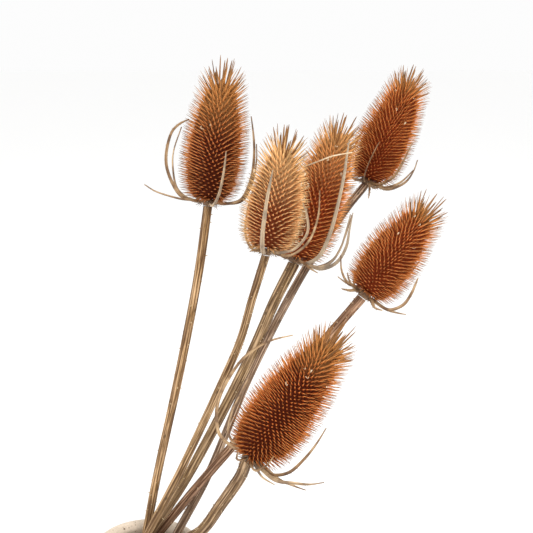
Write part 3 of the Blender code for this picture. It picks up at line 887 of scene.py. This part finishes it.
def scrap_pattern():
    """A curled papery scrap of a flower."""
    turns = [math.radians(angle) for angle in (0, 40, 80, 120, 155)]
    route = [(0, 0.4 - 0.4 * math.cos(angle), 0.55 * math.sin(angle) + 0.1 * angle) for angle in turns]
    outlines = [oval(width, 0.06, 4) for width in (0.10, 0.20, 0.24, 0.20, 0.06)]
    return pattern_mesh("scrap", route, outlines, plain_tones(5, 4, [1.0] * 5), 1)


def straw_pattern(places):
    """A loose pale straw, modelled where it lies in the bunch."""
    route = smooth_route([[size * MM for size in place] for place in places], 12)
    outlines = [oval(0.45 * MM, 0.30 * MM, 5) for place in route]
    return pattern_mesh("straw", route, outlines, plain_tones(len(route), 5, [1.0] * len(route)), 1)


def prickle_pattern():
    """A short prickle with a spreading foot; its tone marks it as paler than the stalk."""
    shape = [(0.0, 0.52), (0.22, 0.30), (0.6, 0.15), (1.0, 0.03)]
    route = [(0, 0, share) for share, width in shape]
    outlines = [oval(width, width * 0.8, 5) for share, width in shape]
    tones = [[(1.0, 0.35 + 0.5 * share, 0.0, 0.0)] * 5 for share, width in shape]
    return pattern_mesh("prickle", route, outlines, tones)


def hair_pattern():
    """A thin dry hair or shred that bends over."""
    route = [(0, 0.32 * share ** 2, share) for share in (0.0, 0.35, 0.7, 1.0)]
    outlines = [oval(width, width * 0.5, 4) for width in (0.16, 0.14, 0.10, 0.02)]
    return pattern_mesh("hair", route, outlines, [[(1.0, 0.0, 0.0, 0.0)] * 4] * 4)


class TEASEL_OT_vase(bpy.types.Operator):
    """Build the round stoneware vase"""
    bl_idname = "teasel.make_vase"
    bl_label = "Vase"

    def execute(self, context):
        settings = context.scene.teasel_vase
        lip_centre = VASE_HEIGHT - LIP_ROUND
        outer = smooth_route([(r * MM, z * MM, 0) for r, z in OUTER_WALL], WALL_STEPS)
        inner = smooth_route([(r * MM, z * MM, 0) for r, z in INNER_WALL], WALL_STEPS // 2)
        lip = []
        for step in range(1, LIP_STEPS):
            angle = math.pi * step / LIP_STEPS
            lip.append((LIP_RADIUS + LIP_ROUND * math.cos(angle), lip_centre + LIP_ROUND * math.sin(angle)))
        profile = [(0, 0), (FOOT_RADIUS * 0.5, 0), (FOOT_RADIUS - FOOT_EDGE, 0)]
        profile += [(FOOT_RADIUS, FOOT_EDGE * 0.4)]
        profile += [(place.x, place.y) for place in outer]
        profile += [(LIP_RADIUS + LIP_ROUND, lip_centre)] + lip + [(LIP_RADIUS - LIP_ROUND, lip_centre)]
        profile += [(place.x, place.y) for place in inner]
        profile += [(FOOT_RADIUS * 0.4, FLOOR_HEIGHT), (0, FLOOR_HEIGHT)]
        bm = bmesh.new()
        turn_profile(bm, profile, VASE_SIDES)
        for corner in bm.verts:
            around = Vector((corner.co.x, corner.co.y, 0))
            if around.length < 1 * MM or corner.co.z < 2 * FOOT_EDGE:
                continue
            rings = math.sin(corner.co.z * 1400 + 2 * noise.noise(corner.co * 30))
            sway = noise.noise(corner.co * 45)
            corner.co += around.normalized() * settings.ring_depth * (0.5 * rings + 1.4 * sway)
        finish_piece("stoneware_vase", bm, [stoneware(settings)], "vase")
        return {"FINISHED"}


class TEASEL_OT_stems(bpy.types.Operator):
    """Build the six ribbed, prickly stems"""
    bl_idname = "teasel.make_stems"
    bl_label = "Stems"

    def execute(self, context):
        settings = context.scene.teasel_stems
        prickle = prickle_pattern()
        for number, teasel in enumerate(TEASELS, start=1):
            self.make_stem(number, teasel, settings, prickle)
        return {"FINISHED"}

    def make_stem(self, number, teasel, settings, prickle):
        draw = random.Random(STEM_SEED + number)
        placement = head_placement(teasel)
        along_head = placement.to_3x3() @ UP
        neck = placement @ Vector((0, 0, -COLLAR_HEIGHT - CLEAR))
        route = smooth_route([Vector(place) * MM for place in teasel["stem"]] + [neck], STEM_STEPS)
        top_radius, foot_radius = (radius * MM for radius in teasel["stem_radius"])
        twist = draw.uniform(-STEM_TWIST, STEM_TWIST)
        start_turn = draw.uniform(0, FULL_TURN)
        outlines = []
        tones = []
        radii = []
        for step, place in enumerate(route):
            share = step / STEM_STEPS
            radius = foot_radius + (top_radius - foot_radius) * share
            radius *= 0.985 + 0.03 * noise.noise(place * 60)
            radii.append(radius)
            outline = []
            shades = []
            for corner in range(STEM_CORNERS):
                angle = FULL_TURN * corner / STEM_CORNERS
                wander = 0.5 * noise.noise(Vector((math.cos(angle), math.sin(angle), share * 4 + number)))
                turned = settings.ribs * angle + twist * share * 4 + start_turn + 2 * wander
                rib = 0.5 + 0.5 * math.cos(turned)
                reach = radius * (1 - settings.rib_depth * (1 - rib))
                outline.append((reach * math.cos(angle), reach * math.sin(angle)))
                # The rib height: the finish paints shade in the grooves where it is low
                shades.append((rib, 0.0, 0.0, 0.0))
            outlines.append(outline)
            tones.append(shades)
        bm, grain, tone = new_bmesh()
        facings = [TO_VIEWER] * len(route)
        sweep(bm, grain, tone, route, outlines, facings, tones, along_head)
        close_ends(bm)
        for turn in range(settings.prickles):
            step = int((turn + draw.random()) / settings.prickles * (STEM_STEPS - 2)) + 1
            if route[step].z < LOWEST_PRICKLE:
                continue
            tangent = (route[step + 1] - route[step]).normalized()
            side = tangent.cross(TO_VIEWER).normalized()
            angle = draw.uniform(0, FULL_TURN)
            outward = side * math.cos(angle) + side.cross(tangent) * math.sin(angle)
            length = settings.prickle_length * draw.uniform(0.35, 1.0)
            width = (0.7 + 0.5 * draw.random()) * MM
            foot = route[step] + outward * radii[step] * (1 - 0.9 * settings.rib_depth)
            slant = outward + tangent * draw.uniform(-0.5, 0.3)
            set_pattern(bm, prickle, pointed_along(foot, slant, tangent, length, width, width * 1.5))
        finish_piece(
            f"dry_stem_{number}", bm, [dry_stem(number, teasel["stem_tint"])], f"stem_{number}"
        )


class TEASEL_OT_bracts(bpy.types.Operator):
    """Build the six rings of curved bracts with their collars"""
    bl_idname = "teasel.make_bracts"
    bl_label = "Bracts"

    def execute(self, context):
        settings = context.scene.teasel_bracts
        material = dry_bract(settings)
        prickle = prickle_pattern()
        hair = hair_pattern()
        for number, teasel in enumerate(TEASELS, start=1):
            draw = random.Random(BRACT_SEED + number)
            placement = head_placement(teasel)
            bm, grain, tone = new_bmesh()
            self.make_collar(bm, grain, tone, teasel)
            bm.transform(placement)
            for bract in teasel["bracts"]:
                self.make_blade(bm, grain, tone, placement, bract, settings, prickle, draw)
            close_ends(bm)
            self.make_fringe(bm, placement, settings, hair, draw)
            finish_piece(f"bract_ring_{number}", bm, [material], f"bracts_{number}")
        return {"FINISHED"}

    def make_collar(self, bm, grain, tone, teasel):
        """The short cup under the head, grooved all round where the bracts leave it."""
        stem_radius = teasel["stem_radius"][0] * MM
        shape = [
            (0, -1.0), (stem_radius * 0.9, -1.0), (stem_radius + 0.2 * MM, -0.94),
            (stem_radius + 0.5 * MM, -0.72), (COLLAR_RADIUS - 0.2 * MM, -0.45),
            (COLLAR_RADIUS, -0.25), (COLLAR_RADIUS - 0.5 * MM, -0.09),
        ]
        profile = [(radius, share * COLLAR_HEIGHT) for radius, share in shape]
        profile += [(COLLAR_RADIUS * 0.5, -CLEAR), (0, -CLEAR)]
        turn_profile(bm, profile, COLLAR_SIDES)
        for corner in bm.verts:
            angle = math.atan2(corner.co.y, corner.co.x)
            groove = 0.5 + 0.5 * math.cos(COLLAR_GROOVES * angle)
            corner.co.x *= 1 - GROOVE_DEPTH * groove
            corner.co.y *= 1 - GROOVE_DEPTH * groove
            corner[grain] = (corner.co.x, corner.co.y, corner.co.z)
            # Painted shade: the tone darkens the collar in its grooves
            corner[tone] = (0.8 - 0.8 * groove, 0.0, 0.0, 0.0)

    def make_blade(self, bm, grain, tone, placement, bract, settings, prickle, draw):
        """One long narrow blade with a groove along its middle and small prickles on its edges."""
        turn_root, turn_end, age, width_share, places = bract
        raised = [BRACT_ROOT, (places[0][0], places[0][1] + BRACT_RAISE)] + places[1:]
        curve = smooth_route([(out * MM, up * MM, 0) for out, up in raised], BRACT_STEPS)
        burnt = max(0.0, age)
        bleached = max(0.0, -age)
        route = []
        facings = []
        outlines = []
        tones = []
        halves = []
        swing = draw.uniform(-0.2, 0.2) - BRACT_SWING * math.cos(math.radians(turn_root))
        for step, place in enumerate(curve):
            share = step / BRACT_STEPS
            turn = math.radians(turn_root + (turn_end - turn_root) * share)
            radial = outward(turn)
            route.append(placement @ (radial * place.x + UP * place.y))
            leaving = max(0.0, 1 - 8 * share)
            facing = radial * (1 - leaving) - UP * (BRACT_DROOP + leaving)
            facing += UP.cross(radial) * swing * math.sin(math.pi * share)
            facings.append(placement.to_3x3() @ facing)
            taper = 0.35 * share + 0.65 * share ** 5
            half = (settings.width + (BRACT_TIP_WIDTH - settings.width) * taper) / 2
            half *= width_share * (1 + 0.12 * noise.noise(Vector((share * 9, age * 7, turn_root))))
            thick = settings.thickness + (BRACT_TIP_THICKNESS - settings.thickness) * share
            halves.append(half)
            outlines.append([(out * half, depth * thick) for out, depth, ridge in BRACT_SECTION])
            scorch = burnt * (0.25 + 0.75 * share)
            # The first tone is the height above the grooves, painted as shade where it is low
            tones.append([(ridge, scorch, bleached, 0.0) for out, depth, ridge in BRACT_SECTION])
        sweep(bm, grain, tone, route, outlines, facings, tones, fibre_start=draw.uniform(0.0, 3.0))
        for turn in range(BRACT_PRICKLES):
            step = draw.randint(2, BRACT_STEPS - 3)
            tangent = (route[step + 1] - route[step - 1]).normalized()
            side = tangent.cross(facings[step]).normalized()
            front = side.cross(tangent)
            edge = draw.choice((-1, 1))
            foot = route[step] + side * edge * halves[step] * 0.8
            direction = side * edge + 0.6 * tangent + front * draw.uniform(-0.3, 0.5)
            length = draw.uniform(0.4, 1.1) * MM
            set_pattern(bm, prickle, pointed_along(foot, direction, front, length, 0.34 * MM, 0.5 * MM))

    def make_fringe(self, bm, placement, settings, hair, draw):
        """Dry hairs and shreds that stand out under the head."""
        for turn in range(settings.fringe):
            angle = draw.uniform(0, FULL_TURN)
            radial = outward(angle)
            out = COLLAR_RADIUS * draw.uniform(0.8, 1.6)
            foot = radial * out + UP * (draw.uniform(-4.0, -1.2) * MM)
            direction = radial + UP * draw.uniform(-1.3, 0.3)
            direction += UP.cross(radial) * draw.uniform(-0.6, 0.6)
            length = draw.uniform(1.2, 4.2) * MM
            width = draw.uniform(0.7, 1.9) * MM
            place = placement @ pointed_along(foot, direction, UP, length, width, width)
            # The darkest shreds are partly painted shade under the head, on top of real dark bristles
            tone = draw.choice(SHRED_TONES)
            set_pattern(bm, hair, place, lambda old: tone)


class TEASEL_OT_heads(bpy.types.Operator):
    """Build the six spiny seed heads with their crowns"""
    bl_idname = "teasel.make_heads"
    bl_label = "Seed heads"

    def execute(self, context):
        settings = context.scene.teasel_heads
        papery = flower_scrap()
        patterns = [spine_pattern(), spike_pattern(), scrap_pattern()]
        for number, teasel in enumerate(TEASELS, start=1):
            self.make_head(number, teasel, settings, [spiny_head(number, teasel, settings), papery], patterns)
        return {"FINISHED"}

    def even_shares(self, count):
        """Shares of the body's length that give every spine about the same patch of its surface."""
        areas = [0.0]
        for number in range(AREA_SLICES):
            areas.append(areas[-1] + egg_radius(EGG_TOP * (number + 0.5) / AREA_SLICES) + AREA_FLOOR)
        shares = []
        number = 0
        for spine in range(count):
            wanted = areas[-1] * (spine + 0.5) / count
            while areas[number + 1] < wanted:
                number += 1
            between = (wanted - areas[number]) / (areas[number + 1] - areas[number])
            shares.append(EGG_TOP * (number + between) / AREA_SLICES)
        return shares

    def make_head(self, number, teasel, settings, materials, patterns):
        spine, spike, scrap = patterns
        draw = random.Random(HEAD_SEED + number)
        length = body_length(teasel)
        core = teasel["girth"] * MM - SPINE_LENGTH
        bm, grain, tone = new_bmesh()
        self.add_core(bm, tone, core, length)
        self.add_spines(bm, spine, teasel, int(teasel["spines"] * settings.spines), core, length, draw)
        self.add_skirt(bm, spine, teasel, settings.skirt_spines, core, draw)
        self.add_crown(bm, spike, settings, core, length, draw)
        self.add_scraps(bm, scrap, settings.scraps, core, length, draw)
        self.add_shreds(bm, scrap, teasel.get("shreds", 0), core, length, draw)
        placement = head_placement(teasel)
        if "straw" in teasel:
            set_pattern(bm, straw_pattern(teasel["straw"]), placement.inverted())
        bm.transform(placement)
        finish_piece(f"spiny_head_{number}", bm, materials, f"head_{number}")

    def add_core(self, bm, tone, core, length):
        """The egg that the spines stand on."""
        profile = [(0.0, 0.0)]
        for row in range(CORE_ROWS + 1):
            share = EGG_TOP * row / CORE_ROWS
            profile.append((core * egg_radius(share) + 0.0001 * MM, share * length))
        profile.append((0.0, length))
        turn_profile(bm, profile, CORE_SIDES)
        for corner in bm.verts:
            # The core takes the tone of a spine's foot, so it shows the painted shade between the spines
            corner[tone] = (0.0, 0.5, corner.co.z / length, 0.0)

    def add_spines(self, bm, spine, teasel, count, core, length, draw):
        """Evenly spaced spines in spiral rows."""
        spacing = math.sqrt(length * teasel["girth"] * MM / count)
        for index, share in enumerate(self.even_shares(count)):
            if share > LAST_SPINE:
                continue
            angle = index * GOLDEN_ANGLE + draw.gauss(0, 0.01)
            radial = outward(angle)
            rise = 0.55 * math.sqrt(share) + 0.45 * share ** 4
            lift = SPINE_LIFT_LOW + (SPINE_LIFT_HIGH - SPINE_LIFT_LOW) * rise + draw.gauss(0, SPINE_WANDER)
            reach = SPINE_LENGTH + SPINE_LENGTH_GAIN * share
            nearness = max(0.0, (share - RISE_START) / (EGG_TOP - RISE_START))
            lift += RISE_LIFT * nearness
            reach += RISE_LENGTH * nearness
            reach *= 1 + draw.uniform(-SPINE_LENGTH_SPREAD, SPINE_LENGTH_SPREAD)
            direction = lifted(radial, lift) + UP.cross(radial) * draw.gauss(0, SPINE_WANDER)
            foot = radial * core * egg_radius(share) + UP * (share * length) - direction * SPINE_BURIED
            width = draw.uniform(0.84, 1.0) * (1 + 0.2 * nearness) * spacing
            place = pointed_along(foot, direction, UP, reach + SPINE_BURIED, width, width)
            set_pattern(bm, spine, place, shaded(draw.random(), share))

    def add_skirt(self, bm, spine, teasel, count, core, draw):
        """Spines that lean down under the broad end, between the bracts."""
        turns = [math.radians(bract[0]) for bract in teasel["bracts"]]
        for index in range(count):
            angle = index * GOLDEN_ANGLE
            if any(math.cos(angle - turn) > math.cos(math.radians(SKIRT_GAP)) for turn in turns):
                continue
            radial = outward(angle)
            lift = math.radians(draw.uniform(*SKIRT_LIFT))
            foot = radial * (core * egg_radius(0) - SKIRT_INSET) + UP * SKIRT_INSET
            reach = draw.uniform(*SKIRT_REACH) * MM
            place = pointed_along(foot, lifted(radial, lift), UP, reach, MM, MM)
            set_pattern(bm, spine, place, shaded(draw.random(), 0.0))

    def add_crown(self, bm, spike, settings, core, length, draw):
        """Long spikes at the tip, the longest and steepest nearest to the axis."""
        for index in range(settings.crown_spikes):
            share = SPIKE_START + SPIKE_SPAN * (index + 0.5) / settings.crown_spikes
            near_axis = (share - SPIKE_START) / SPIKE_SPAN
            angle = index * GOLDEN_ANGLE + draw.gauss(0, 0.1)
            radial = outward(angle)
            lift = math.radians(SPIKE_LIFT + SPIKE_LIFT_GAIN * near_axis) + draw.gauss(0, 0.06)
            foot = radial * core * egg_radius(share) * 0.85 + UP * (share * length - SPIKE_BURIED)
            reach = settings.crown_length * (0.66 + 0.34 * near_axis) * draw.uniform(0.84, 1.04)
            width = draw.uniform(0.95, 1.4) * MM
            place = pointed_along(foot, lifted(radial, lift), radial, reach, width, width)
            set_pattern(bm, spike, place, shaded(draw.random(), 0.85 + 0.15 * draw.random()))

    def add_scraps(self, bm, scrap, count, core, length, draw):
        """Curled scraps of the flowers, caught between the spines."""
        for index in range(count):
            share = draw.uniform(0.5, 0.92)
            radial = outward(draw.uniform(0, FULL_TURN))
            out = core * egg_radius(share) + SPINE_LENGTH * draw.uniform(0.3, 0.7)
            foot = radial * out + UP * (share * length + 3 * MM)
            direction = Vector([draw.gauss(0, 1) for axis in range(3)]).normalized() + radial
            size = draw.uniform(1.6, 2.8) * MM
            set_pattern(bm, scrap, pointed_along(foot, direction, UP, size, size, size))

    def add_shreds(self, bm, scrap, count, core, length, draw):
        """Pale ragged hairs on the right of a head."""
        for index in range(count):
            share = draw.uniform(0.06, 0.68)
            radial = outward(math.radians(draw.uniform(-36, 4)))
            foot = radial * (core * egg_radius(share) + 0.6 * SPINE_LENGTH) + UP * (share * length)
            direction = radial + Vector([draw.gauss(0, 0.5) for axis in range(3)])
            size = draw.uniform(3.0, 5.5) * MM
            set_pattern(bm, scrap, pointed_along(foot, direction, UP, size, 0.3 * size, 0.8 * size))


class TEASEL_OT_stage(bpy.types.Operator):
    """Add the plain floor, the soft lights and the camera"""
    bl_idname = "teasel.make_stage"
    bl_label = "Stage"

    def execute(self, context):
        settings = context.scene.teasel_stage
        bm = bmesh.new()
        bmesh.ops.create_grid(bm, x_segments=1, y_segments=1, size=settings.floor_size / 2)
        mesh = bpy.data.meshes.new("floor")
        bm.to_mesh(mesh)
        bm.free()
        paint = Finish("floor_paint", 0.9)
        paint.colour(full_colour(settings.floor))
        mesh.materials.append(paint.material)
        floor = bpy.data.objects.new("floor", mesh)
        context.scene.collection.objects.link(floor)
        world = bpy.data.worlds.new("studio")
        world.use_nodes = True
        surround = world.node_tree.nodes["Background"]
        surround.inputs["Color"].default_value = (1.0, 1.0, 1.0, 1.0)
        surround.inputs["Strength"].default_value = settings.surround
        context.scene.world = world
        self.add_light("main_light", (0.6, -0.75, 1.4), 0.6, settings.key_power)
        self.add_light("second_light", (-0.9, -0.5, 0.6), 0.9, settings.fill_power)
        self.add_camera(context.scene)
        context.scene.view_settings.view_transform = "Standard"
        context.scene.view_settings.look = "None"
        return {"FINISHED"}

    def add_light(self, name, place, size, power):
        data = bpy.data.lights.new(name, "AREA")
        data.shape = "DISK"
        data.size = size
        data.energy = power
        light = bpy.data.objects.new(name, data)
        bpy.context.scene.collection.objects.link(light)
        light.location = place
        aim = Vector(CAMERA_TARGET) - Vector(place)
        light.rotation_euler = aim.to_track_quat("-Z", "Y").to_euler()

    def add_camera(self, scene):
        data = bpy.data.cameras.new("camera")
        data.sensor_width = SENSOR_WIDTH
        data.lens = FOCAL_LENGTH
        data.clip_start = 0.01
        data.clip_end = 100.0
        camera = bpy.data.objects.new("camera", data)
        scene.collection.objects.link(camera)
        camera.location = CAMERA_PLACE
        aim = Vector(CAMERA_TARGET) - Vector(CAMERA_PLACE)
        camera.rotation_euler = aim.to_track_quat("-Z", "Y").to_euler()
        scene.camera = camera


class TEASEL_PT_bunch(bpy.types.Panel):
    """Lists the pieces and their settings"""
    bl_label = "Dried teasels"
    bl_idname = "TEASEL_PT_bunch"
    bl_space_type = "VIEW_3D"
    bl_region_type = "UI"
    bl_category = "Teasels"

    def draw(self, context):
        groups = (
            ("teasel_vase", TEASEL_OT_vase),
            ("teasel_stems", TEASEL_OT_stems),
            ("teasel_bracts", TEASEL_OT_bracts),
            ("teasel_heads", TEASEL_OT_heads),
            ("teasel_stage", TEASEL_OT_stage),
        )
        for settings_name, operator in groups:
            box = self.layout.box()
            settings = getattr(context.scene, settings_name)
            for name in settings.__annotations__:
                box.prop(settings, name)
            box.operator(operator.bl_idname)


SETTINGS = {
    "teasel_vase": VaseSettings,
    "teasel_stems": StemSettings,
    "teasel_bracts": BractSettings,
    "teasel_heads": HeadSettings,
    "teasel_stage": StageSettings,
}
CLASSES = (
    *SETTINGS.values(),
    TEASEL_OT_vase,
    TEASEL_OT_stems,
    TEASEL_OT_bracts,
    TEASEL_OT_heads,
    TEASEL_OT_stage,
    TEASEL_PT_bunch,
)


def register():
    for each in CLASSES:
        bpy.utils.register_class(each)
    for name, group in SETTINGS.items():
        setattr(bpy.types.Scene, name, PointerProperty(type=group))


def unregister():
    for name in SETTINGS:
        delattr(bpy.types.Scene, name)
    for each in reversed(CLASSES):
        bpy.utils.unregister_class(each)


def main():
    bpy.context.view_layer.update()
    register()
    bpy.ops.teasel.make_vase()
    bpy.ops.teasel.make_stems()
    bpy.ops.teasel.make_bracts()
    bpy.ops.teasel.make_heads()
    bpy.ops.teasel.make_stage()


if __name__ == "__main__":
    main()
